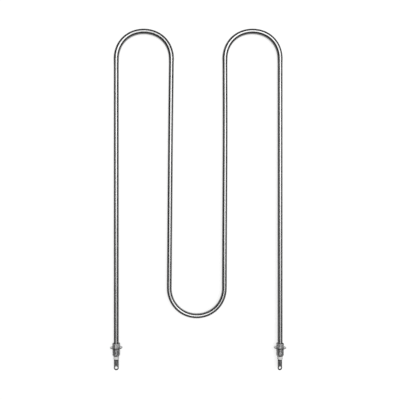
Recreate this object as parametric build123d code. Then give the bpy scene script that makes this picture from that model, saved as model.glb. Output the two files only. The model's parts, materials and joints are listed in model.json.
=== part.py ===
from build123d import *
import os
from math import acos, asin, atan2, cos, degrees, hypot, sin

# A tubular heating element bent into four legs with three return bends, with a
# threaded fitting, a ceramic bead and a flat terminal lug on each end.
#
# Element frame: the legs run along Y and the terminals point to -Y. X = 0 is midway
# between the two outer legs, Y = 0 is the seating face of both fittings, and Z = 0 is
# the plane of the bent centre line. The finished pieces are then laid down at rest.

# ------------------------------------------------------------- driving dimensions, mm

# Bent sheath
sheath_d = 9.0
sheath_wall = 0.8
terminal_span = 300.0  # between the axes of the two outer legs
former_r = 46.0  # bending former, so the inside radius of every bend
outer_leg = 529.5  # seating face up to the centres of the two top bends
inner_leg = 420.0  # along Y, between the top bend centres and the return bend centre
return_shift = -2.5  # the return bend lies this far from the middle, so its legs lean

# Threaded bushing
thread_d = 14.0  # M14 x 1.5
thread_length = 12.8  # seating face down to the nose cone, with the relief
relief_width = 1.2
relief_depth = 0.9
nose_length = 2.5
nose_end_d = 10.0
collar_d = 14.4
collar_length = 7.5
collar_rim = 1.7  # unpressed ring above the crimped flats
collar_round = 1.2  # round the top of the unpressed ring
crimp_across = 13.0  # across opposite crimped flats
crimp_flat_count = 6
crimp_foot = 0.9  # unpressed ring between the crimped flats and the washer
bushing_gap = 0.05  # round the sheath

# Seating washer
washer_d = 22.5
washer_thickness = 1.2
washer_round = 0.4  # rolled edge that the stamping die leaves on the seating face

# Ceramic bead
bead_d = 9.9
bead_length = 5.5
bead_round = 0.9
spigot_length = 5.0
spigot_gap = 0.1  # inside the sheath
bead_bore_gap = 0.1  # round the pin

# Seal, cold pin and winding inside the sheath
seal_length = 6.0
pin_d = 3.2
pin_reach = 70.0  # seating face up to the start of the winding
pin_tip_length = 9.0  # reduced tip that the winding is screwed onto
winding_d = 3.6
wire_d = 0.5

# Terminal lug
lug_length = 20.3
lug_width = 8.8
lug_thickness = 1.0
lug_shoulder_r = 1.6
eye_d = 9.2
eye_hole_d = 4.8
eye_blend_r = 6.0  # hollow round from the straight sides into the eye
saddle_length = 9.2  # end of the strap to the end of the pin that lies in it
lug_turns = {"left": 0.0, "right": 24.0}  # degrees about the pin

# ------------------------------------------------------------------- values worked out

sheath_r = sheath_d / 2
bore_r = sheath_r - sheath_wall
bend_r = former_r + sheath_r
thread_r = thread_d / 2
washer_r = washer_d / 2
pin_r = pin_d / 2
winding_r = winding_d / 2
winding_bore_r = winding_r - wire_d

nose_y = -(thread_length + nose_length)
seal_y = nose_y + spigot_length
fill_y = seal_y + seal_length
lug_y = nose_y - bead_length
collar_top_y = washer_thickness + collar_length

side_x = {"left": -terminal_span / 2, "right": terminal_span / 2}


# ------------------------------------------------------------------------- centre line


def centreline(start_y):
    """Centre line from the left leg to the right one, with both its ends at start_y.

    The outer legs are parallel to Y. Each inner leg is the line that touches its top
    bend and the return bend on opposite sides, so it leans when the return bend is off
    the middle. Every straight meets its arc at a tangent.
    """
    top_left = Vector(side_x["left"] + bend_r, outer_leg)
    top_right = Vector(side_x["right"] - bend_r, outer_leg)
    low = Vector(return_shift, outer_leg - inner_leg)
    lean_left = leg_lean(low.X - top_left.X)
    lean_right = leg_lean(top_right.X - low.X)
    first_arc = CenterArc(top_left, bend_r, 180, lean_left - 180)
    return_arc = CenterArc(low, bend_r, 180 + lean_left, 180 - lean_left - lean_right)
    last_arc = CenterArc(top_right, bend_r, 180 - lean_right, lean_right - 180)
    pieces = [
        Line((side_x["left"], start_y), first_arc @ 0),
        first_arc,
        Line(first_arc @ 1, return_arc @ 0),
        return_arc,
        Line(return_arc @ 1, last_arc @ 0),
        last_arc,
        Line(last_arc @ 1, (side_x["right"], start_y)),
    ]
    return Wire([piece.edge() for piece in pieces])


def leg_lean(across):
    """Degrees that an inner leg leans by, for two bend centres that far apart in X."""
    return degrees(acos(2 * bend_r / hypot(across, inner_leg)) - atan2(inner_leg, across))


def rod_along_centreline(radius, start_y):
    """Solid round rod of one radius on the centre line."""
    path = centreline(start_y)
    return sweep(Plane(path @ 0, z_dir=path % 0) * Circle(radius), path=path)


# ---------------------------------------------------------------------- turned pieces


def turned(profile):
    """Solid turned about Y from a closed outline of (radius, y) points."""
    return revolve(make_face(Polyline(*profile, close=True)), Axis.Y)


def widest_rims(body):
    """The two round edges of largest radius on a turned piece."""
    return body.edges().filter_by(GeomType.CIRCLE).sort_by(SortBy.RADIUS)[-2:]


def sheath():
    """Thin-walled metal tube, bent to shape, open at both ends."""
    outside = rod_along_centreline(sheath_r, nose_y)
    return outside - rod_along_centreline(bore_r, nose_y)


def winding():
    """Resistance wire, as a tube with the inner and outer size of its close turns."""
    outside = rod_along_centreline(winding_r, pin_reach)
    return outside - rod_along_centreline(winding_bore_r, pin_reach)


def cold_pin():
    """Steel pin from the lug to the winding, with a domed end and a reduced tip."""
    dome_y = lug_y - saddle_length + pin_r
    shank = turned([(0, dome_y), (pin_r, dome_y), (pin_r, pin_reach), (0, pin_reach)])
    tip_y = pin_reach + pin_tip_length
    tip = turned([(0, pin_reach), (winding_bore_r, pin_reach), (winding_bore_r, tip_y), (0, tip_y)])
    return shank + tip + Pos(0, dome_y, 0) * Sphere(pin_r)


def powder(inner_pieces):
    """Magnesia powder, pressed into all the room round and inside the winding."""
    return rod_along_centreline(bore_r, fill_y) - inner_pieces


def end_seal():
    """Plug of sealing resin between the powder and the bead."""
    return turned([(pin_r, seal_y), (bore_r, seal_y), (bore_r, fill_y), (pin_r, fill_y)])


def bead():
    """Ceramic bead: a head against the nose of the bushing and a spigot in the sheath."""
    hole_r = pin_r + bead_bore_gap
    spigot_r = bore_r - spigot_gap
    profile = [
        (hole_r, lug_y),
        (bead_d / 2, lug_y),
        (bead_d / 2, nose_y),
        (spigot_r, nose_y),
        (spigot_r, seal_y),
        (hole_r, seal_y),
    ]
    return fillet(widest_rims(turned(profile)), bead_round)


def washer():
    """Stamped washer with one rolled edge, pressed over the thread against the collar."""
    body = turned(
        [(thread_r, 0), (washer_r, 0), (washer_r, washer_thickness), (thread_r, washer_thickness)]
    )
    return fillet(widest_rims(body).sort_by(Axis.Y)[0], washer_round)


def bushing():
    """Threaded bushing, as its outer size, with a thread relief and a crimped collar."""
    hole_r = sheath_r + bushing_gap
    collar_r = collar_d / 2
    profile = [
        (hole_r, nose_y),
        (nose_end_d / 2, nose_y),
        (thread_r, nose_y + nose_length),
        (thread_r, -relief_width),
        (thread_r - relief_depth, -relief_width),
        (thread_r - relief_depth, 0),
        (thread_r, 0),
        (thread_r, washer_thickness),
        (collar_r, washer_thickness),
        (collar_r, collar_top_y),
        (hole_r, collar_top_y),
    ]
    body = turned(profile)
    body = fillet(widest_rims(body).sort_by(Axis.Y)[-1], collar_round)
    return body - crimp_waste()


def crimp_waste():
    """What the crimping tool presses in: all that is outside a prism with flat sides."""
    low_y = washer_thickness + crimp_foot
    length = collar_top_y - collar_rim - low_y
    flats = RegularPolygon(crimp_across / 2, crimp_flat_count, major_radius=False)
    ring = Circle(collar_d) - flats
    return extrude(Plane((0, low_y, 0), z_dir=(0, 1, 0)) * ring, length)


# ------------------------------------------------------------------------ terminal lug


def lug():
    """Strap with a round eye and a saddle, pressed in it, that the pin is welded into."""
    eye_y = lug_y - lug_length + eye_d / 2
    shank = Pos(0, (lug_y + eye_y) / 2) * Rectangle(lug_width, lug_y - eye_y)
    outline = shank + Pos(0, eye_y) * Circle(eye_d / 2)
    shoulders = outline.vertices().group_by(Axis.Y)[-1]
    outline = fillet(shoulders, lug_shoulder_r)
    waist = [v for v in outline.vertices() if lug_y - lug_shoulder_r - 1e-3 > v.Y > eye_y]
    outline = fillet(waist, eye_blend_r)
    strap = extrude(outline - Pos(0, eye_y) * Circle(eye_hole_d / 2), -lug_thickness)
    saddle_r = pin_r + lug_thickness
    return (strap + saddle_form(saddle_r)) - saddle_form(pin_r)


def saddle_form(radius):
    """Round bar with a ball end along the pin, cut off level with the lug's end."""
    end_y = lug_y - saddle_length + pin_r
    bar = turned([(0, end_y), (radius, end_y), (radius, lug_y), (0, lug_y)])
    return bar + Pos(0, end_y, 0) * Sphere(radius)


# ---------------------------------------------------------------------------- assembly


def element():
    """All pieces in the element frame, by the name of their node."""
    coil = winding()
    pins = {side: Pos(x, 0, 0) * cold_pin() for side, x in side_x.items()}
    made = {"sheath": sheath(), "heating_coil": coil}
    made["magnesia_powder"] = powder([coil, *pins.values()])
    for side, x in side_x.items():
        leg = Pos(x, 0, 0)
        made[f"cold_pin_{side}"] = pins[side]
        made[f"end_seal_{side}"] = leg * end_seal()
        made[f"ceramic_bead_{side}"] = leg * bead()
        made[f"threaded_bushing_{side}"] = leg * bushing()
        made[f"seating_washer_{side}"] = leg * washer()
        made[f"terminal_lug_{side}"] = leg * Rot(Y=lug_turns[side]) * lug()
    return made


def rest_tilt():
    """Degrees that the element tips by, lying on both washer rims and both top bends."""
    reach = outer_leg + bend_r - washer_thickness
    return degrees(atan2(washer_r, reach) - asin(sheath_r / hypot(reach, washer_r)))


def rest_place(pieces):
    """Location that lays the element on Z = 0, with the origin under its middle."""
    tip = Rot(X=-rest_tilt())
    box = Compound(children=[Compound([tip * piece]) for piece in pieces.values()]).bounding_box()
    middle = box.center()
    return Pos(-middle.X, -middle.Y, -box.min.Z) * tip


pieces = element()
place = rest_place(pieces)
os.makedirs("parts", exist_ok=True)
for node, piece in pieces.items():
    export_step(place * piece, f"parts/{node}.step")
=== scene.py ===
"""The looks of a bent tubular heating element, lying on a pale studio floor.

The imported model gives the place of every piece. The bent sheath, the threaded and crimped
bushings, the washers and the ceramic beads are made again here as fine numpy surfaces of
the same form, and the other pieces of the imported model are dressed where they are. All
lengths are in metres.
"""

import json
import logging
import math
from abc import ABC, abstractmethod
from dataclasses import dataclass
from enum import Enum
from functools import cache
from typing import Protocol

import bpy
import numpy as np
from mathutils import Matrix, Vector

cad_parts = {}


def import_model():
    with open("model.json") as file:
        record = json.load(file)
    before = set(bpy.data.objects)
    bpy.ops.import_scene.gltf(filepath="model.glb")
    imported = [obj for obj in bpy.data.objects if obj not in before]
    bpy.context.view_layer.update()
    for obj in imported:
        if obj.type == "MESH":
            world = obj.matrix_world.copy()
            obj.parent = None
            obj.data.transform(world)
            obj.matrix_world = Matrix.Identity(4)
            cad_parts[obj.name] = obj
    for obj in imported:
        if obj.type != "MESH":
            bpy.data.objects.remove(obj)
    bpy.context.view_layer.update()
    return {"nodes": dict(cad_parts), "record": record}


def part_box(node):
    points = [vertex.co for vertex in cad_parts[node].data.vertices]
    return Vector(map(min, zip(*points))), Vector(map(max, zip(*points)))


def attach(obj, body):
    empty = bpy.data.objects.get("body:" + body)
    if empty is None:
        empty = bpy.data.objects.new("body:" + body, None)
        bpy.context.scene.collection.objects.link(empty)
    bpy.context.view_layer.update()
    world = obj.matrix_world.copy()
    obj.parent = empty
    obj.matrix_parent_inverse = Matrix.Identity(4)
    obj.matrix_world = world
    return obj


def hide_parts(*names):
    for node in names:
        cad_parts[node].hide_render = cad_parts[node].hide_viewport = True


log = logging.getLogger("heating_element")

MM = 0.001
TINY = 1e-9  # two lengths that differ by less are the same
MIDDLE = (0.3, 0.7)  # most values of a noise lie between these
UV_LAYER = "surface"  # the surface coordinates of every new piece
BODY = "root"


class Side(Enum):
    """The two ends of the element."""

    LEFT = "left"
    RIGHT = "right"


class Space(Enum):
    """The coordinates that a pattern follows."""

    PIECE = "Object"
    SURFACE = "UV"


class Join(Enum):
    """How values become one."""

    PRODUCT = "MULTIPLY"
    LARGEST = "MAXIMUM"


# ------------------------------------------------------------------------------ places


@dataclass(frozen=True)
class Lay:
    """The element's own frame: legs along y, bent in the plane z = 0, seats at y = 0."""

    origin: np.ndarray
    x: np.ndarray
    y: np.ndarray
    z: np.ndarray

    def place(self, points: np.ndarray) -> np.ndarray:
        """Carries points of shape (..., 3) from the element's frame into the scene."""
        return self.origin + points @ np.stack([self.x, self.y, self.z])

    def scene_y(self, y: float) -> float:
        """The scene's y of a place on the frame's own y axis."""
        return float(self.place(np.array([0, y, 0]))[1])

    def moved(self, x: float) -> "Lay":
        """The same frame, shifted along its own x axis."""
        return Lay(self.origin + self.x * x, self.x, self.y, self.z)

    def matrix(self) -> Matrix:
        """The frame as a 4 x 4 matrix.

        Returns:
            The matrix, with the axes as its columns and the origin as its last one.
        """
        rows = np.eye(4)
        rows[:3, 0], rows[:3, 1], rows[:3, 2] = self.x, self.y, self.z
        rows[:3, 3] = self.origin
        return Matrix(rows.tolist())


def mounts_by_name(record: dict) -> dict:
    """The record's mounts, by name."""
    return {mount["name"]: mount for mount in record["mounts"]}


def lay_of(mounts: dict, relief: float) -> Lay:
    """Finds the element's frame from its two thread mounts.

    A thread mount stands at the middle of its thread, which runs from the relief under
    the seat towards the terminal, so the seat lies half a thread and one relief back.

    Args:
        mounts: the record's mounts, by name.
        relief: width of the thread relief under the seat.

    Returns:
        The frame, with its origin midway between the two seats.
    """
    left, right = (mounts[f"{side.value}_thread"] for side in Side)
    back = -np.array(left["axis"], float)
    x = np.array(right["pos_m"], float) - np.array(left["pos_m"], float)
    x /= np.linalg.norm(x)
    middle = (np.array(left["pos_m"], float) + np.array(right["pos_m"], float)) / 2
    seat = middle + back * (left["dims"]["length_mm"] * MM / 2 + relief)
    return Lay(seat, x, back, np.cross(x, back))


# ----------------------------------------------------------------------- mesh surfaces


def loop_quads(rows: int, columns: int) -> np.ndarray:
    """Quads of a grid of points that closes on itself in both directions, like a ring.

    Point j of row i is joined to the next point of its row and to point j of the next
    row, and the last of either is joined to the first.

    Args:
        rows: number of rows of points.
        columns: number of points in each row.

    Returns:
        Array of shape (n, 4) of indices into the grid, read row by row.
    """
    i, j = np.mgrid[:rows, :columns]
    i2, j2 = (i + 1) % rows, (j + 1) % columns
    quads = [i * columns + j, i * columns + j2, i2 * columns + j2, i2 * columns + j]
    return np.stack(quads, -1).reshape(-1, 4)


def unwrapped(column: np.ndarray, columns: int) -> np.ndarray:
    """Column numbers of quads' corners, counted on past the seam where a quad spans it."""
    over_seam = (column.max(1) - column.min(1) > 1)[:, None] & (column == 0)
    return np.where(over_seam, columns, column)


def add_piece(name: str, points: np.ndarray, quads: np.ndarray, uv: np.ndarray | None = None,
              sharp_angle: float = math.radians(32)) -> bpy.types.Object:
    """Puts a surface into the scene as a smooth-shaded mesh with its sharp edges marked.

    Args:
        name: name of the piece.
        points: array of shape (n, 3).
        quads: array of shape (m, 4), counter-clockwise seen from outside.
        uv: optional array of shape (m, 4, 2) with a surface coordinate for each corner.
        sharp_angle: faces that meet at more than this angle keep a sharp edge.

    Returns:
        The new object, at the origin.
    """
    mesh = bpy.data.meshes.new(name)
    mesh.from_pydata(points.reshape(-1, 3), [], quads.tolist())
    mesh.polygons.foreach_set("use_smooth", np.ones(len(quads), bool))
    if uv is not None:
        layer = mesh.uv_layers.new(name=UV_LAYER)
        layer.data.foreach_set("uv", uv.astype(np.float32).ravel())
    mesh.update()
    mesh.set_sharp_from_angle(angle=sharp_angle)
    piece = bpy.data.objects.new(name, mesh)
    bpy.context.scene.collection.objects.link(piece)
    return piece


def smooth_step(t: np.ndarray) -> np.ndarray:
    """Rises from 0 to 1 as t goes from 0 to 1, level at both ends."""
    t = np.clip(t, 0, 1)
    return t * t * (3 - 2 * t)


def rounded(corners: list, steps: int = 5) -> np.ndarray:
    """A closed outline with some corners rounded.

    Each rounded corner is an arc that touches both its sides: it starts and ends at the
    radius divided by the tangent of half the corner's angle from the corner. Its points
    are the arms to its two ends, weighted by the sines of the angle still to turn and of
    the angle turned, over the sine of the whole sweep.

    Args:
        corners: (radius from the axis, y, corner radius) of each corner, in order.
        steps: points on each rounded corner, less one.

    Returns:
        Array of shape (n, 2) of (radius from the axis, y).
    """
    points = np.array([c[:2] for c in corners], float)
    out = []
    for k, (corner, size) in enumerate(zip(points, (c[2] for c in corners))):
        if size == 0:
            out.append(corner[None])
            continue
        before, after = points[k - 1] - corner, points[(k + 1) % len(points)] - corner
        before, after = before / np.linalg.norm(before), after / np.linalg.norm(after)
        half = math.acos(float(np.clip(before @ after, -1, 1))) / 2
        start, end = (corner + side * size / math.tan(half) for side in (before, after))
        middle = (before + after) / np.linalg.norm(before + after)
        centre = corner + middle * size / math.sin(half)
        sweep = math.pi - 2 * half
        a = np.linspace(0, 1, steps + 1)[:, None] * sweep
        arms = np.sin(sweep - a) * (start - centre) + np.sin(a) * (end - centre)
        out.append(centre + arms / math.sin(sweep))
    return np.concatenate(out)


def turned_surface(outline: np.ndarray, columns: int, radii: np.ndarray | None = None
                   ) -> tuple[np.ndarray, np.ndarray, np.ndarray]:
    """A closed outline turned about the y axis.

    Point (k, j) stands at the angle 2 pi j / columns about y, at the outline's height y
    and at the outline's radius, or at radii[k, j] where the section isn't round.

    Args:
        outline: array of shape (n, 2) of (radius, y), clockwise as seen with the radius
            to the right and y up, so that faces point outwards.
        columns: points round the axis.
        radii: optional array of shape (n, columns).

    Returns:
        Points of shape (n, columns, 3), quads of shape (m, 4), and surface coordinates
        of shape (m, 4, 2): the share of a full turn, and the distance from the axis.
    """
    angle = np.arange(columns) * 2 * math.pi / columns
    radius = np.repeat(outline[:, :1], columns, 1) if radii is None else radii
    height = np.repeat(outline[:, 1:], columns, 1)
    points = np.stack([radius * np.cos(angle), height, radius * np.sin(angle)], -1)
    quads = loop_quads(len(outline), columns)
    row, column = np.divmod(quads, columns)
    uv = np.stack([unwrapped(column, columns) / columns, radius[row, column]], -1)
    return points, quads, uv


# ---------------------------------------------------------------------------- finishes


def grey(level: float) -> tuple:
    """A neutral colour of one level."""
    return (level, level, level)


class Nodes:
    """A material's node tree, with short ways to add and join nodes."""

    def __init__(self, name: str) -> None:
        """Starts a material with a Principled shader.

        Args:
            name: name of the material.
        """
        self.material = bpy.data.materials.new(name)
        self.material.use_nodes = True
        self.tree = self.material.node_tree
        self.shader = self.tree.nodes["Principled BSDF"]

    def set(self, **values: object) -> None:
        """Sets the shader's own sockets, with _ for each space in a socket's name."""
        for name, value in values.items():
            self.shader.inputs[name.replace("_", " ")].default_value = value

    def add(self, kind: str, **settings: object) -> bpy.types.Node:
        """Adds a node.

        Args:
            kind: the node's type.
            settings: properties of the node.

        Returns:
            The node.
        """
        node = self.tree.nodes.new(kind)
        for key, value in settings.items():
            setattr(node, key, value)
        return node

    def join(self, out: bpy.types.NodeSocket, into: bpy.types.NodeSocket) -> None:
        """Links one socket to another."""
        self.tree.links.new(out, into)

    def feed(self, name: str, out: bpy.types.NodeSocket) -> None:
        """Links a value to one of the shader's sockets."""
        self.join(out, self.shader.inputs[name])

    def place(self, space: Space) -> bpy.types.NodeSocket:
        """The socket of the coordinates themselves."""
        return self.add("ShaderNodeTexCoord").outputs[space.value]

    def mapped(self, space: Space, scale: tuple) -> bpy.types.NodeSocket:
        """Coordinates, stretched along each axis.

        Args:
            space: the coordinates.
            scale: how many units of a pattern go into a metre along each axis.

        Returns:
            The socket of the stretched coordinates.
        """
        mapping = self.add("ShaderNodeMapping")
        mapping.inputs["Scale"].default_value = scale
        self.join(self.place(space), mapping.inputs["Vector"])
        return mapping.outputs["Vector"]

    def y_part(self, space: Space) -> bpy.types.NodeSocket:
        """The second coordinate.

        Args:
            space: the coordinates. On a piece it is the place along the legs, and on a
                turned surface the distance from the axis.

        Returns:
            The socket of the coordinate, in metres.
        """
        split = self.add("ShaderNodeSeparateXYZ")
        self.join(self.place(space), split.inputs["Vector"])
        return split.outputs["Y"]

    def noise(self, space: Space, scale: tuple, detail: float = 3.0, rough: float = 0.55
              ) -> bpy.types.NodeSocket:
        """The grey value of a noise texture.

        Args:
            space: the coordinates.
            scale: grains to a metre along each axis.
            detail: number of finer layers.
            rough: share of each finer layer.

        Returns:
            The socket of the value, from 0 to 1.
        """
        node = self.add("ShaderNodeTexNoise")
        node.inputs["Scale"].default_value = 1.0
        node.inputs["Detail"].default_value = detail
        node.inputs["Roughness"].default_value = rough
        self.join(self.mapped(space, scale), node.inputs["Vector"])
        return node.outputs["Fac"]

    def ramp(self, value: bpy.types.NodeSocket, limits: tuple = (0, 1),
             results: tuple = (0, 1)) -> bpy.types.NodeSocket:
        """Carries a value from one range into another, and stops at both ends.

        Args:
            value: socket of the value.
            limits: lowest and highest value.
            results: what the lowest and the highest value become.

        Returns:
            The socket of the result.
        """
        node = self.add("ShaderNodeMapRange")
        node.inputs["From Min"].default_value, node.inputs["From Max"].default_value = limits
        node.inputs["To Min"].default_value, node.inputs["To Max"].default_value = results
        self.join(value, node.inputs["Value"])
        return node.outputs["Result"]

    def joined(self, how: Join, *values: bpy.types.NodeSocket) -> bpy.types.NodeSocket:
        """Makes two or more values one.

        Args:
            how: how they become one.
            values: sockets of the values, taken in order.

        Returns:
            The socket of the result.
        """
        total = values[0]
        for value in values[1:]:
            node = self.add("ShaderNodeMath", operation=how.value)
            self.join(total, node.inputs[0])
            self.join(value, node.inputs[1])
            total = node.outputs["Value"]
        return total

    def tones(self, value: bpy.types.NodeSocket, dark: tuple, light: tuple) -> None:
        """Colours the shader between two tones.

        Args:
            value: socket of a value from 0 to 1.
            dark: colour at 0.
            light: colour at 1.
        """
        mix = self.add("ShaderNodeMix", data_type="RGBA")
        mix.inputs["A"].default_value = (*dark, 1)
        mix.inputs["B"].default_value = (*light, 1)
        self.join(value, mix.inputs["Factor"])
        self.feed("Base Color", mix.outputs["Result"])

    def bump(self, height: bpy.types.NodeSocket, distance: float) -> None:
        """Adds fine relief to the shader.

        Args:
            height: socket of a height from 0 to 1.
            distance: how high 1 is.
        """
        node = self.add("ShaderNodeBump")
        node.inputs["Distance"].default_value = distance
        self.join(height, node.inputs["Height"])
        self.feed("Normal", node.outputs["Normal"])


class Finish(Protocol):
    """What every finish has: the record's slot that it belongs to, and a material."""

    slot: str

    def material(self) -> bpy.types.Material:
        """Makes the material."""


@dataclass(frozen=True)
class PolishedTube:
    """Dark stainless tube, belt polished: fine lines round it and slow changes of tone.

    The lines spread what the tube mirrors along its length and leave it crisp across.
    """

    slot: str = "sheath_steel"
    tone: float = 0.218
    spread: float = 0.008
    roughness: float = 0.19
    rough_spread: float = 0.01
    lengthwise: float = 0.95
    line_turn: float = 0.25  # of a full turn, from along the girth
    edge_tint: float = 0.2
    cloud_scale: tuple = (18, 9, 1)
    patch_scale: tuple = (90, 30, 1)
    line_scale: tuple = (40, 4000, 1)
    line_depth: float = 0.0005 * MM

    def material(self) -> bpy.types.Material:
        """Makes the material. Its pattern follows the tube's own surface coordinates.

        Returns:
            The material.
        """
        nodes = Nodes(self.slot)
        nodes.set(Metallic=1.0, Specular_Tint=(*grey(self.edge_tint), 1),
                  Anisotropic=self.lengthwise, Anisotropic_Rotation=self.line_turn)
        girth = nodes.add("ShaderNodeTangent", direction_type="UV_MAP", uv_map=UV_LAYER)
        nodes.feed("Tangent", girth.outputs["Tangent"])
        clouds = nodes.ramp(nodes.noise(Space.SURFACE, self.cloud_scale, detail=2), MIDDLE)
        nodes.tones(clouds, grey(self.tone - self.spread), grey(self.tone + self.spread))
        patches = nodes.noise(Space.SURFACE, self.patch_scale)
        rough = (self.roughness - self.rough_spread, self.roughness + self.rough_spread)
        nodes.feed("Roughness", nodes.ramp(patches, MIDDLE, rough))
        nodes.bump(nodes.noise(Space.SURFACE, self.line_scale, detail=2), self.line_depth)
        return nodes.material


@dataclass(frozen=True)
class TurnedSteel:
    """Dull turned steel: fine rings round the leg's axis, spots, and painted shade in the
    thread's roots and the relief.

    The thread is cut bright, and all above it, the relief and the crimped collar, is dull.
    """

    thread_top_y: float
    root_r: float
    slot: str = "fitting_steel"
    thread_tone: float = 0.58
    collar_tone: float = 0.47
    thread_roughness: float = 0.38
    collar_roughness: float = 0.55
    change_length: float = 0.1 * MM
    edge_tint: float = 0.5
    spot_scale: float = 520
    spot_limits: tuple = (0.36, 0.6)
    spot_dullness: tuple = (1.15, 0.95)  # share of the roughness, on spots and between
    dirt: float = 0.4
    # painted shade in the thread's roots, the relief and near the axis: how much darker, and how
    # far out it runs
    root_shade: float = 0.6
    root_shade_depth: float = 0.15 * MM
    ring_scale: tuple = (60, 9000, 60)
    ring_depth: float = 0.006 * MM

    def material(self) -> bpy.types.Material:
        """Makes the material.

        The rings are noise that is stretched across the axis, and the painted shade follows the
        distance from the axis, which the surface coordinates keep: all that lies no further out
        than the thread's roots is darkened, the relief and the nose's narrow end too.

        Returns:
            The material.
        """
        nodes = Nodes(self.slot)
        nodes.set(Metallic=1.0, Specular_Tint=(*grey(self.edge_tint), 1))
        spots = nodes.noise(Space.PIECE, (self.spot_scale,) * 3, detail=4)
        spotted = nodes.ramp(spots, self.spot_limits, (1 - self.dirt, 1))
        # painted shade: darker where the surface lies no further out than the thread's roots
        roots = (self.root_r, self.root_r + self.root_shade_depth)
        unshaded = nodes.ramp(nodes.y_part(Space.SURFACE), roots, (1 - self.root_shade, 1))
        change = (self.thread_top_y - self.change_length, self.thread_top_y)
        above = nodes.ramp(nodes.y_part(Space.PIECE), change)
        skin = nodes.ramp(above, results=(self.thread_tone, self.collar_tone))
        nodes.tones(nodes.joined(Join.PRODUCT, spotted, unshaded, skin), grey(0), grey(1))
        rough = nodes.ramp(above, results=(self.thread_roughness, self.collar_roughness))
        dull = nodes.ramp(spots, MIDDLE, self.spot_dullness)
        nodes.feed("Roughness", nodes.joined(Join.PRODUCT, rough, dull))
        nodes.bump(nodes.noise(Space.PIECE, self.ring_scale, detail=2), self.ring_depth)
        return nodes.material


@dataclass(frozen=True)
class StampedSteel:
    """A stamped plate: satin faces, and painted shade on its edge all round."""

    rim_r: float
    slot: str = "washer_steel"
    tone: float = 0.8
    roughness: float = 0.3
    # painted shade on the rim: its tone, then its roughness and width
    edge_shade_tone: float = 0.02
    edge_roughness: float = 0.6
    edge_shade_width: float = 0.35 * MM
    full_edge_shade: float = 0.3  # share of the edge's width that is fully dark
    edge_tint: float = 0.5
    spot_scale: float = 640
    spot_limits: tuple = (0.3, 0.65)
    dirt: float = 0.3
    grain_scale: float = 1900
    grain_depth: float = 0.01 * MM

    def material(self) -> bpy.types.Material:
        """Makes the material. The edge is found by its distance from the plate's axis.

        Returns:
            The material.
        """
        nodes = Nodes(self.slot)
        nodes.set(Metallic=1.0, Specular_Tint=(*grey(self.edge_tint), 1))
        # painted shade: the rim and its rolled edge darken towards the outside
        edge = (self.rim_r - self.edge_shade_width, self.rim_r - self.full_edge_shade * self.edge_shade_width)
        face = nodes.ramp(nodes.y_part(Space.SURFACE), edge, (1, 0))
        spots = nodes.noise(Space.PIECE, (self.spot_scale,) * 3, detail=4)
        spotted = nodes.ramp(spots, self.spot_limits, (1 - self.dirt, 1))
        nodes.tones(nodes.joined(Join.PRODUCT, face, spotted), grey(self.edge_shade_tone),
                    grey(self.tone))
        rough = nodes.ramp(face, results=(self.edge_roughness, self.roughness))
        nodes.feed("Roughness", rough)
        nodes.bump(nodes.noise(Space.PIECE, (self.grain_scale,) * 3), self.grain_depth)
        return nodes.material


@dataclass(frozen=True)
class StripSteel:
    """Drawn or stamped steel: dull, with fine lines along it, and darker at both ends.

    The darkening is painted shade: beside the bead, where the bead's shade falls, and at the tip.
    """

    slot: str
    tone: float
    roughness: float
    bead_y: float
    tip_y: float
    tip_shade_length: float
    # painted shade beside the bead and at the tip: its lengths and its darkest share
    bead_shade_length: float = 2.6 * MM
    full_bead_shade: float = 0.4  # share of the weld's length that is fully stained
    shade_level: float = 0.15
    edge_tint: float = 0.5
    spot_scale: tuple = (700, 420, 700)
    spot_limits: tuple = (0.25, 0.6)
    spot_roughness: float = 0.1
    dirt: float = 0.28
    line_scale: tuple = (5000, 160, 5000)
    line_depth: float = 0.005 * MM

    def material(self) -> bpy.types.Material:
        """Makes the material. Each painted shade is a ramp along the leg, towards its end.

        Returns:
            The material.
        """
        nodes = Nodes(self.slot)
        nodes.set(Metallic=1.0, Specular_Tint=(*grey(self.edge_tint), 1))
        along = nodes.y_part(Space.PIECE)
        # painted shade: darker beside the bead and towards the tip
        bead_shade_span = (self.bead_y - self.bead_shade_length, self.bead_y - self.full_bead_shade * self.bead_shade_length)
        bead_shade = nodes.ramp(along, bead_shade_span, (1, self.shade_level))
        tip = nodes.ramp(along, (self.tip_y, self.tip_y + self.tip_shade_length), (self.shade_level, 1))
        spots = nodes.noise(Space.PIECE, self.spot_scale, detail=4)
        spotted = nodes.ramp(spots, self.spot_limits, (1 - self.dirt, 1))
        nodes.tones(nodes.joined(Join.PRODUCT, bead_shade, tip, spotted), grey(0), grey(self.tone))
        rough = (self.roughness + self.spot_roughness, self.roughness)
        nodes.feed("Roughness", nodes.ramp(spots, MIDDLE, rough))
        nodes.bump(nodes.noise(Space.PIECE, self.line_scale, detail=2), self.line_depth)
        return nodes.material


@dataclass(frozen=True)
class Ceramic:
    """Unglazed steatite: off-white, matt, with faint specks and a fine grain."""

    slot: str = "bead_ceramic"
    tone: tuple = (0.57, 0.57, 0.56145)
    speck_share: float = 0.72  # of the tone
    speck_scale: float = 1400
    speck_limits: tuple = (0.28, 0.45)
    speck_fineness: float = 0.6
    roughness: float = 0.5
    grain_scale: float = 5200
    grain_depth: float = 0.012 * MM

    def material(self) -> bpy.types.Material:
        """Makes the material.

        Returns:
            The material.
        """
        nodes = Nodes(self.slot)
        nodes.set(Roughness=self.roughness)
        specks = nodes.noise(Space.PIECE, (self.speck_scale,) * 3, detail=5,
                             rough=self.speck_fineness)
        dark = tuple(self.speck_share * level for level in self.tone)
        nodes.tones(nodes.ramp(specks, self.speck_limits), dark, self.tone)
        nodes.bump(nodes.noise(Space.PIECE, (self.grain_scale,) * 3), self.grain_depth)
        return nodes.material


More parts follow.
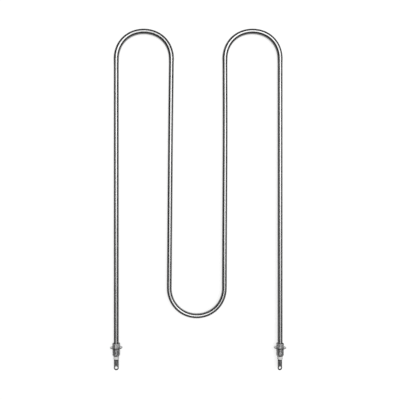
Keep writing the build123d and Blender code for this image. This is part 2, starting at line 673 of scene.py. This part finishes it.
@dataclass(frozen=True)
class Pressed:
    """A hidden filling, such as powder or resin: matt, with grains in two tones."""

    slot: str
    tone: tuple
    grain_scale: float
    roughness: float
    dark_share: float = 0.8  # of the tone
    grain_depth: float = 0.02 * MM

    def material(self) -> bpy.types.Material:
        """Makes the material.

        Returns:
            The material.
        """
        nodes = Nodes(self.slot)
        nodes.set(Roughness=self.roughness)
        grains = nodes.noise(Space.PIECE, (self.grain_scale,) * 3)
        nodes.tones(grains, tuple(self.dark_share * level for level in self.tone), self.tone)
        nodes.bump(grains, self.grain_depth)
        return nodes.material


@dataclass(frozen=True)
class WoundWire:
    """Close turns of resistance wire: a groove for every turn along the leg, with painted shade
    in each groove.
    """

    slot: str = "winding_wire"
    tone: float = 0.3
    groove_shade_share: float = 0.4  # of the tone
    roughness: float = 0.45
    pitch: float = 1.1 * MM
    groove_depth: float = 0.2 * MM
    wave_rate: float = 20.0  # radians to a unit in Blender's wave texture

    def material(self) -> bpy.types.Material:
        """Makes the material. The turns are a wave along the leg's axis.

        Returns:
            The material.
        """
        nodes = Nodes(self.slot)
        nodes.set(Metallic=1.0, Roughness=self.roughness)
        wave = nodes.add("ShaderNodeTexWave", bands_direction="Y")
        wave.inputs["Scale"].default_value = 1.0
        turns = 2 * math.pi / (self.wave_rate * self.pitch)
        nodes.join(nodes.mapped(Space.PIECE, (turns,) * 3), wave.inputs["Vector"])
        # painted shade: each groove of the wave is darkened
        nodes.tones(wave.outputs["Fac"], grey(self.tone * self.groove_shade_share), grey(self.tone))
        nodes.bump(wave.outputs["Fac"], self.groove_depth)
        return nodes.material


@cache
def material_of(finish: Finish) -> bpy.types.Material:
    """The material of a finish, made once for all that wear it."""
    return finish.material()


def dress(piece: bpy.types.Object, finish: Finish) -> None:
    """Gives a piece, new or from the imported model, one finish."""
    piece.data.materials.clear()
    piece.data.materials.append(material_of(finish))


# ------------------------------------------------------------------------------ pieces


@dataclass
class Piece(ABC):
    """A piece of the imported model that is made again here, and wears one finish."""

    lay: Lay
    finish: Finish

    @abstractmethod
    def build(self) -> bpy.types.Object:
        """Makes the piece's mesh and puts it into the scene."""

    def dress(self, piece: bpy.types.Object) -> None:
        """Gives the built piece its finish."""
        dress(piece, self.finish)

    def stand_in(self, piece: bpy.types.Object, node: str) -> bpy.types.Object:
        """Makes the built piece ride with the element in place of a node, and reports it.

        Args:
            piece: the built piece.
            node: name of the node that it stands for.

        Returns:
            The built piece.
        """
        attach(piece, BODY)
        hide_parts(node)
        triangles = sum(len(polygon.vertices) - 2 for polygon in piece.data.polygons)
        log.info("%s stands for %s, %d triangles", piece.name, node, triangles)
        return piece


# ------------------------------------------------------------------------------ sheath


@dataclass
class Sheath(Piece):
    """The bent tube, as one closed skin with its bore."""

    span: float
    radius: float = 4.5 * MM
    wall: float = 0.8 * MM
    former_r: float = 46.0 * MM
    outer_leg: float = 529.5 * MM
    inner_leg: float = 420.0 * MM
    return_shift: float = -2.5 * MM
    end_y: float = -15.3 * MM
    pressing: tuple = (0.06, -0.02, 0.06)  # share by which each bend's section is wider
    pressing_run: float = 8 * MM  # and how far that runs out along the legs
    squareness: tuple = (0.65 * MM, 0.25 * MM, 0.65 * MM)
    spring: tuple = (-0.34 * MM, 0.42 * MM, -0.34 * MM)
    bows: tuple = (0.0, -0.3 * MM, 0.6 * MM, 0.0)
    bow_top: float = 0.36  # the most bowed place, as a share of the way down
    columns: int = 48
    leg_rows: int = 56
    bend_rows: int = 64

    def lean(self, across: float, bend_r: float) -> float:
        """Angle of an inner leg that touches two bends on opposite sides.

        It is the angle whose cosine is the bends' diameter over the distance between
        their centres, less the angle of the line from one centre to the other.

        Args:
            across: how far apart the bends' centres are across the legs.
            bend_r: radius of the bends' centre line.

        Returns:
            The angle that the leg leans by.
        """
        reach = math.hypot(across, self.inner_leg)
        slope = math.atan2(self.inner_leg, across)
        return math.acos(2 * bend_r / reach) - slope

    def arc(self, centre: np.ndarray, start: float, end: float, square: float,
            spring: float) -> np.ndarray:
        """Stations of one bend, evenly by angle.

        At the share t of the bend they stand on the former's circle plus square times
        the squared sine of 2 pi t, which fills the corners out, plus spring times the
        squared sine of pi t, which moves the middle. Both end level with the legs.

        Args:
            centre: centre of the bend, (2,).
            start: angle of the first station.
            end: angle of the last station.
            square: how far the corners stand out.
            spring: how far the middle stands out.

        Returns:
            Points of shape (bend_rows + 1, 2).
        """
        share = np.linspace(0, 1, self.bend_rows + 1)
        out = square * np.sin(2 * math.pi * share) ** 2 + spring * np.sin(math.pi * share) ** 2
        angle = start + (end - start) * share
        reach = (self.former_r + self.radius + out)[:, None]
        return centre + reach * np.stack([np.cos(angle), np.sin(angle)], -1)

    def leg(self, start: np.ndarray, end: np.ndarray, bow: float, downwards: bool) -> np.ndarray:
        """Stations of one leg, which is bowed a little to the side.

        At the share t of the way down from the top bend, a station stands beside the
        straight by bow times the squared sine of pi times a power of t. The power puts
        the most bowed place at bow_top.

        Args:
            start: end of the run before it, (2,).
            end: start of the run after it, (2,).
            bow: how far the leg is bowed, to the right where it is positive.
            downwards: whether the leg starts at its top.

        Returns:
            Points of shape (leg_rows + 1, 2), with both ends.
        """
        share = np.linspace(0, 1, self.leg_rows + 1)
        down = share if downwards else 1 - share
        side = bow * np.sin(math.pi * down ** (math.log(0.5) / math.log(self.bow_top))) ** 2
        straight = start + share[:, None] * (end - start)
        return straight + np.stack([side, np.zeros_like(side)], -1)

    def centre_line(self) -> tuple[np.ndarray, np.ndarray, np.ndarray]:
        """Stations along the centre line, from the left end to the right one.

        Returns:
            Points (n, 2), unit tangents (n, 2), and the bend that each station is on,
            1 to 3 from the left, or 0 on a leg.
        """
        bend_r = self.former_r + self.radius
        centres = np.array([
            [-self.span / 2 + bend_r, self.outer_leg],
            [self.return_shift, self.outer_leg - self.inner_leg],
            [self.span / 2 - bend_r, self.outer_leg],
        ])
        left = self.lean(centres[1, 0] - centres[0, 0], bend_r)
        right = self.lean(centres[2, 0] - centres[1, 0], bend_r)
        spans = [(math.pi, left), (math.pi + left, 2 * math.pi - right), (math.pi - right, 0)]
        arcs = [self.arc(centre, *span, square, spring) for centre, span, square, spring
                in zip(centres, spans, self.squareness, self.spring)]
        ends = [np.array([x, self.end_y]) for x in (-self.span / 2, self.span / 2)]
        starts = [ends[0], *(arc[-1] for arc in arcs)]
        stops = [*(arc[0] for arc in arcs), ends[1]]
        legs = [self.leg(*run) for run in zip(starts, stops, self.bows, (False, True) * 2)]
        runs = [
            legs[0][:-1], arcs[0], legs[1][1:-1], arcs[1], legs[2][1:-1], arcs[2], legs[3][1:]]
        points = np.concatenate(runs)
        bend = np.repeat([0, 1, 0, 2, 0, 3, 0], [len(run) for run in runs])
        tangent = np.gradient(points, axis=0)
        return points, tangent / np.linalg.norm(tangent, axis=1, keepdims=True), bend

    def build(self) -> bpy.types.Object:
        """Carries a ring along the centre line, outside first and then the bore.

        A point of the ring at the angle a stands at the station plus cos(a) times the
        in-plane normal and sin(a) times z. On a bend the ring is wider or narrower in the
        plane by the bend's pressing, and this runs out along the legs.

        Returns:
            The piece.
        """
        line, tangent, bend = self.centre_line()
        steps = np.linalg.norm(np.diff(line, axis=0), axis=1)
        along = np.concatenate([[0], np.cumsum(steps)])
        wide = np.ones(len(line))
        for number, pressing in enumerate(self.pressing, 1):
            near = np.abs(along[:, None] - along[None, bend == number]).min(1)
            wide += pressing * smooth_step(1 - near / self.pressing_run)
        normal = np.stack([tangent[:, 1], -tangent[:, 0], np.zeros(len(line))], -1)
        up = np.array([0.0, 0.0, 1.0])
        angle = np.arange(self.columns) * 2 * math.pi / self.columns
        centre = np.concatenate([line, np.zeros((len(line), 1))], 1)
        skins = []
        for radius in (self.radius, self.radius - self.wall):
            across = (radius * wide)[:, None, None] * np.cos(angle)[:, None] * normal[:, None]
            skins.append(centre[:, None] + across + radius * np.sin(angle)[:, None] * up)
        points = np.concatenate([skins[0], skins[1][::-1]])
        quads = loop_quads(len(points), self.columns)[:, ::-1]
        run = np.concatenate([along, along[::-1]])
        row, column = np.divmod(quads, self.columns)
        girth = 2 * math.pi * self.radius / self.columns
        uv = np.stack([unwrapped(column, self.columns) * girth, run[row]], -1)
        piece = add_piece("bent_sheath", self.lay.place(points), quads, uv)
        return self.stand_in(piece, "sheath")


# ---------------------------------------------------------------------------- fittings


@dataclass
class Bushing(Piece):
    """A turned bushing with a real screw thread and a crimped collar."""

    side: Side
    bore_r: float = 4.55 * MM
    thread_r: float = 7.0 * MM
    thread_length: float = 12.8 * MM
    pitch: float = 1.5 * MM
    thread_depth: float = 0.9 * MM
    crest: float = 1 / 8  # from a crest's middle to its edge, in pitches
    flank: float = 5 / 16  # length of a flank along the axis, in pitches
    root_rounding: float = 0.25  # 0 leaves the flank straight, and 1 rounds all of it
    relief_width: float = 1.2 * MM
    relief_depth: float = 0.9 * MM
    nose_length: float = 2.5 * MM
    nose_end_r: float = 5.0 * MM
    washer_thickness: float = 1.2 * MM
    collar_r: float = 7.2 * MM
    collar_length: float = 7.5 * MM
    collar_rim: float = 1.7 * MM
    collar_round: float = 1.2 * MM
    crimp_across: float = 13.0 * MM
    crimp_foot: float = 0.9 * MM
    crimp_blend: float = 0.35 * MM
    crimp_flats: int = 6
    columns: int = 144
    rows_per_pitch: int = 14
    blend_rows: int = 6
    rim_rows: int = 10

    def crimp_ends(self) -> tuple[float, float]:
        """The lowest and the highest y of the crimped flats."""
        high = self.washer_thickness + self.collar_length - self.collar_rim
        return self.washer_thickness + self.crimp_foot, high

    def outline(self) -> np.ndarray:
        """The closed outline of the bushing's outer size.

        It runs from the bore up the nose cone, the thread, the relief, the seat, the
        collar and the quarter circle of its rim, and back to the bore.

        Returns:
            Array of shape (n, 2) of (radius, y).
        """
        nose_y = -(self.thread_length + self.nose_length)
        top_y = self.washer_thickness + self.collar_length
        relief_r = self.thread_r - self.relief_depth
        rows = round((self.thread_length - self.relief_width) / self.pitch * self.rows_per_pitch)
        thread_y = np.linspace(-self.thread_length, -self.relief_width, rows)
        thread = np.stack([np.full(rows, self.thread_r), thread_y], -1)
        cone_rows = round(self.nose_length / self.pitch * self.rows_per_pitch)
        cone = np.linspace([self.nose_end_r, nose_y], [self.thread_r, -self.thread_length],
                           cone_rows, endpoint=False)
        low, high = self.crimp_ends()
        crimp_y = np.concatenate([
            low + self.crimp_blend * np.linspace(0, 1, self.blend_rows),
            high - self.crimp_blend * np.linspace(1, 0, self.blend_rows),
        ])
        crimp = np.stack([np.full(len(crimp_y), self.collar_r), crimp_y], -1)
        rim_angle = np.linspace(0, math.pi / 2, self.rim_rows)
        rim = np.stack([
            self.collar_r - self.collar_round * (1 - np.cos(rim_angle)),
            top_y - self.collar_round * (1 - np.sin(rim_angle)),
        ], -1)
        seat = np.array([
            [relief_r, -self.relief_width], [relief_r, 0], [self.thread_r, 0],
            [self.thread_r, self.washer_thickness], [self.collar_r, self.washer_thickness],
        ])
        foot, top = np.array([[self.bore_r, nose_y]]), np.array([[self.bore_r, top_y]])
        return np.concatenate([foot, cone, thread, seat, crimp, rim, top])

    def screw(self, angle: np.ndarray, y: np.ndarray) -> np.ndarray:
        """Radius of the thread: one 60 degree groove for each turn and pitch.

        The place in the pitch is y over the pitch less the angle over a full turn. From
        the middle of a worn crest it is level for 1/8 of a pitch, falls in a straight
        flank to 7/16 and is rounded into a level root.

        Args:
            angle: angles about the axis.
            y: places along the axis, of a shape that broadcasts with the angles.

        Returns:
            Radii of the broadcast shape.
        """
        turn = np.mod(y / self.pitch - angle / (2 * math.pi), 1.0)
        from_crest = 0.5 - np.abs(turn - 0.5)
        fall = np.clip((from_crest - self.crest) / self.flank, 0, 1)
        rounded_fall = (1 - self.root_rounding) * fall + self.root_rounding * smooth_step(fall)
        return self.thread_r - self.thread_depth * rounded_fall

    def crimped(self, angle: np.ndarray, y: np.ndarray) -> np.ndarray:
        """Radius of the collar where the crimping tool has pressed its flats.

        A flat lies at half the size across flats, divided by the cosine of the angle to
        the flat's middle, and it fades into the round collar at both ends.

        Args:
            angle: angles about the axis.
            y: places along the axis, of a shape that broadcasts with the angles.

        Returns:
            Radii of the broadcast shape.
        """
        sector = 2 * math.pi / self.crimp_flats
        off = np.mod(angle + sector / 2, sector) - sector / 2
        flat = np.minimum(self.crimp_across / 2 / np.cos(off), self.collar_r)
        low, high = self.crimp_ends()
        fade_in = smooth_step((y - low) / self.crimp_blend)
        fade_out = smooth_step((high - y) / self.crimp_blend)
        return self.collar_r + (flat - self.collar_r) * fade_in * fade_out

    def build(self) -> bpy.types.Object:
        """Turns the outline, and cuts the thread and the crimped flats into it.

        Returns:
            The piece.
        """
        outline = self.outline()
        angle = (np.arange(self.columns) * 2 * math.pi / self.columns)[None, :]
        radius, y = outline[:, :1], outline[:, 1:]
        cut = (y < -self.relief_width - TINY) & (radius > self.nose_end_r + TINY)
        on_collar = (y > self.washer_thickness + TINY) & (y < self.crimp_ends()[1] + TINY)
        pressed = on_collar & (radius > self.thread_r)
        radii = np.where(cut, np.minimum(radius, self.screw(angle, y)), radius)
        radii = np.where(pressed, self.crimped(angle, y), radii)
        points, quads, uv = turned_surface(outline, self.columns, radii)
        piece = add_piece(f"crimped_bushing_{self.side.value}", self.lay.place(points), quads, uv)
        return self.stand_in(piece, f"threaded_bushing_{self.side.value}")


@dataclass
class Washer(Piece):
    """A stamped washer, with the edge of its seating face rolled by the die."""

    side: Side
    bore_r: float = 7.0 * MM
    radius: float = 11.25 * MM
    thickness: float = 1.2 * MM
    roll: float = 0.4 * MM
    burr: float = 0.1 * MM
    columns: int = 112

    def build(self) -> bpy.types.Object:
        """Turns the washer's rounded section.

        Returns:
            The piece.
        """
        corners = [
            (self.bore_r, 0, 0), (self.radius, 0, self.roll),
            (self.radius, self.thickness, self.burr), (self.bore_r, self.thickness, 0),
        ]
        points, quads, uv = turned_surface(rounded(corners), self.columns)
        piece = add_piece(f"stamped_washer_{self.side.value}", self.lay.place(points), quads, uv)
        return self.stand_in(piece, f"seating_washer_{self.side.value}")


@dataclass
class Bead(Piece):
    """The ceramic bead between the bushing's nose and the lug."""

    side: Side
    nose_y: float
    bore_r: float = 1.7 * MM
    radius: float = 4.95 * MM
    length: float = 5.5 * MM
    rounding: float = 0.9 * MM
    spigot_r: float = 3.6 * MM
    spigot_length: float = 5.0 * MM
    columns: int = 80
    rim_rows: int = 8

    def build(self) -> bpy.types.Object:
        """Turns the head with its rounded rims, and the spigot inside the sheath.

        Returns:
            The piece.
        """
        low, top = self.nose_y - self.length, self.nose_y + self.spigot_length
        corners = [
            (self.bore_r, low, 0), (self.radius, low, self.rounding),
            (self.radius, self.nose_y, self.rounding), (self.spigot_r, self.nose_y, 0),
            (self.spigot_r, top, 0), (self.bore_r, top, 0),
        ]
        points, quads, uv = turned_surface(rounded(corners, self.rim_rows), self.columns)
        piece = add_piece(f"steatite_bead_{self.side.value}", self.lay.place(points), quads, uv)
        return self.stand_in(piece, f"ceramic_bead_{self.side.value}")


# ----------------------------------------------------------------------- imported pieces


@dataclass
class PackedPieces:
    """The pieces that keep their packed form: both lugs, and all that the sheath hides.

    The lugs and pins get painted shade at bead_y, where they leave the bead, and at tip_y.
    """

    nodes: dict
    bead_y: float
    tip_y: float

    def finishes(self) -> dict[str, Finish]:
        """The finish of each kind of piece, by the start of its nodes' names.

        Returns:
            The finishes by name.
        """
        ends = {"bead_y": self.bead_y, "tip_y": self.tip_y}
        return {
            "heating_coil": WoundWire(),
            "magnesia_powder": Pressed(
                "magnesia", tone=(0.86, 0.86, 0.84), grain_scale=2500, roughness=0.9),
            "end_seal": Pressed(
                "seal_resin", tone=(0.5, 0.48, 0.45), grain_scale=900, roughness=0.55),
            "cold_pin": StripSteel(
                "pin_steel", tone=0.36, roughness=0.3, tip_shade_length=1 * MM, **ends),
            "terminal_lug": StripSteel(
                "lug_steel", tone=0.19, roughness=0.65, tip_shade_length=3.5 * MM, **ends),
        }

    def dress(self) -> None:
        """Gives each piece that no new one stands for its finish, and reports it."""
        finishes = self.finishes()
        for name, node in self.nodes.items():
            if not node.hide_render:
                dress(node, next(finishes[kind] for kind in finishes if name.startswith(kind)))
                log.info("%s keeps its packed form", name)


# ------------------------------------------------------------------------------ studio


@dataclass(frozen=True)
class SoftLamp:
    """A wide soft lamp that hangs level and faces down."""

    name: str
    centre: tuple
    size: tuple
    level: float

    def build(self) -> None:
        """Hangs the lamp. Its power is its level times pi times its area."""
        data = bpy.data.lights.new(self.name, "AREA")
        data.shape = "RECTANGLE"
        data.size, data.size_y = self.size
        data.energy = self.level * math.pi * self.size[0] * self.size[1]
        lamp = bpy.data.objects.new(self.name, data)
        bpy.context.scene.collection.objects.link(lamp)
        lamp.location = self.centre


@dataclass
class Studio:
    """A pale floor, soft lamps high above it, a dim room and the camera."""

    lay: Lay
    picture: float = 400.0
    object_scale: float = 1.8315 * MM
    middle_px: tuple = (198.16, 347.83)
    camera_height: float = 943 * MM
    sensor: float = 36.0
    floor_size: float = 16.0
    floor_drop: float = 0.05 * MM
    floor_tone: float = 0.3
    floor_lift: float = 0.73
    floor_lift_rays: tuple = ("Is Camera Ray", "Is Glossy Ray", "Is Transmission Ray")
    wall_level: float = 0.05
    ceiling_level: float = 0.3
    ceiling_starts: float = 0.4
    ceiling_full: float = 1.0
    lamps: tuple = (
        SoftLamp("key", centre=(1.25, 1.15, 5.0), size=(5.0, 3.1), level=5.8),
        SoftLamp("fill", centre=(1.25, -1.20, 5.0), size=(5.0, 1.6), level=1.9),
    )

    def camera(self) -> None:
        """Looks straight at the element's plane, as far off as its parallax asks for.

        One picture point is object_scale wide on that plane, and middle_px is where the
        element's own origin falls in the picture.
        """
        half = self.picture / 2
        x = (half - self.middle_px[0]) * self.object_scale
        y = (self.middle_px[1] - half) * self.object_scale
        data = bpy.data.cameras.new("camera")
        data.sensor_width = self.sensor
        data.lens = self.sensor * self.camera_height / (self.picture * self.object_scale)
        camera = bpy.data.objects.new("camera", data)
        bpy.context.scene.collection.objects.link(camera)
        spot = self.lay.place(np.array([x, y, self.camera_height]))
        camera.matrix_world = Lay(spot, self.lay.x, self.lay.y, self.lay.z).matrix()
        bpy.context.scene.camera = camera

    def floor(self) -> None:
        """A pale floor that looks white and keeps the shadow of what lies on it."""
        signs = np.array([[-1, -1], [1, -1], [1, 1], [-1, 1]])
        corners = np.insert(signs * self.floor_size / 2, 2, -self.floor_drop, axis=1)
        floor = add_piece("floor", corners, np.array([[0, 1, 2, 3]]))
        nodes = Nodes("floor")
        nodes.set(Base_Color=(*grey(self.floor_tone), 1), Roughness=1.0, Specular_IOR_Level=0.0,
                  Emission_Color=(*grey(1), 1))
        path = nodes.add("ShaderNodeLightPath").outputs
        seen = nodes.joined(Join.LARGEST, *(path[ray] for ray in self.floor_lift_rays))
        nodes.feed("Emission Strength", nodes.ramp(seen, results=(0, self.floor_lift)))
        floor.data.materials.append(nodes.material)

    def room(self) -> bpy.types.World:
        """The room's light: dim at the walls and brighter towards the pale ceiling.

        The level follows the upward part of the direction, from where the ceiling starts
        to where it is full.

        Returns:
            The world.
        """
        world = bpy.data.worlds.new("room")
        world.use_nodes = True
        tree = world.node_tree
        coordinates = tree.nodes.new("ShaderNodeTexCoord")
        split = tree.nodes.new("ShaderNodeSeparateXYZ")
        tree.links.new(coordinates.outputs["Generated"], split.inputs["Vector"])
        level = tree.nodes.new("ShaderNodeMapRange")
        level.interpolation_type = "SMOOTHSTEP"
        level.inputs["From Min"].default_value = self.ceiling_starts
        level.inputs["From Max"].default_value = self.ceiling_full
        level.inputs["To Min"].default_value = self.wall_level
        level.inputs["To Max"].default_value = self.ceiling_level
        tree.links.new(split.outputs["Z"], level.inputs["Value"])
        tree.links.new(level.outputs["Result"], tree.nodes["Background"].inputs["Strength"])
        tree.nodes["Background"].inputs["Color"].default_value = (1, 1, 1, 1)
        return world

    def build(self) -> None:
        """Sets up the view, the floor and the light."""
        bpy.context.scene.view_settings.view_transform = "Standard"
        self.camera()
        self.floor()
        for lamp in self.lamps:
            lamp.build()
        bpy.context.scene.world = self.room()


# -------------------------------------------------------------------------------- main


def main() -> None:
    """Builds and dresses every sub-assembly in order."""
    logging.basicConfig(level=logging.INFO, format="%(message)s")
    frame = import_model()
    mounts = mounts_by_name(frame["record"])
    lay = lay_of(mounts, Bushing.relief_width)
    span = float(np.linalg.norm(
        np.array(mounts["right_thread"]["pos_m"]) - np.array(mounts["left_thread"]["pos_m"])))
    nose_y = -(Bushing.thread_length + Bushing.nose_length)

    bushing_steel = TurnedSteel(
        lay.scene_y(-Bushing.relief_width), Bushing.thread_r - Bushing.thread_depth)
    pieces: list[Piece] = [Sheath(lay, PolishedTube(), span)]
    for side, x in zip(Side, (-span / 2, span / 2)):
        leg = lay.moved(x)
        pieces += [
            Bushing(leg, bushing_steel, side),
            Washer(leg, StampedSteel(Washer.radius), side),
            Bead(leg, Ceramic(), side, nose_y),
        ]
    for piece in pieces:
        piece.dress(piece.build())

    tip_y = float(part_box("terminal_lug_left")[0][1])
    PackedPieces(frame["nodes"], lay.scene_y(nose_y - Bead.length), tip_y).dress()
    Studio(lay).build()


if __name__ == "__main__":
    main()
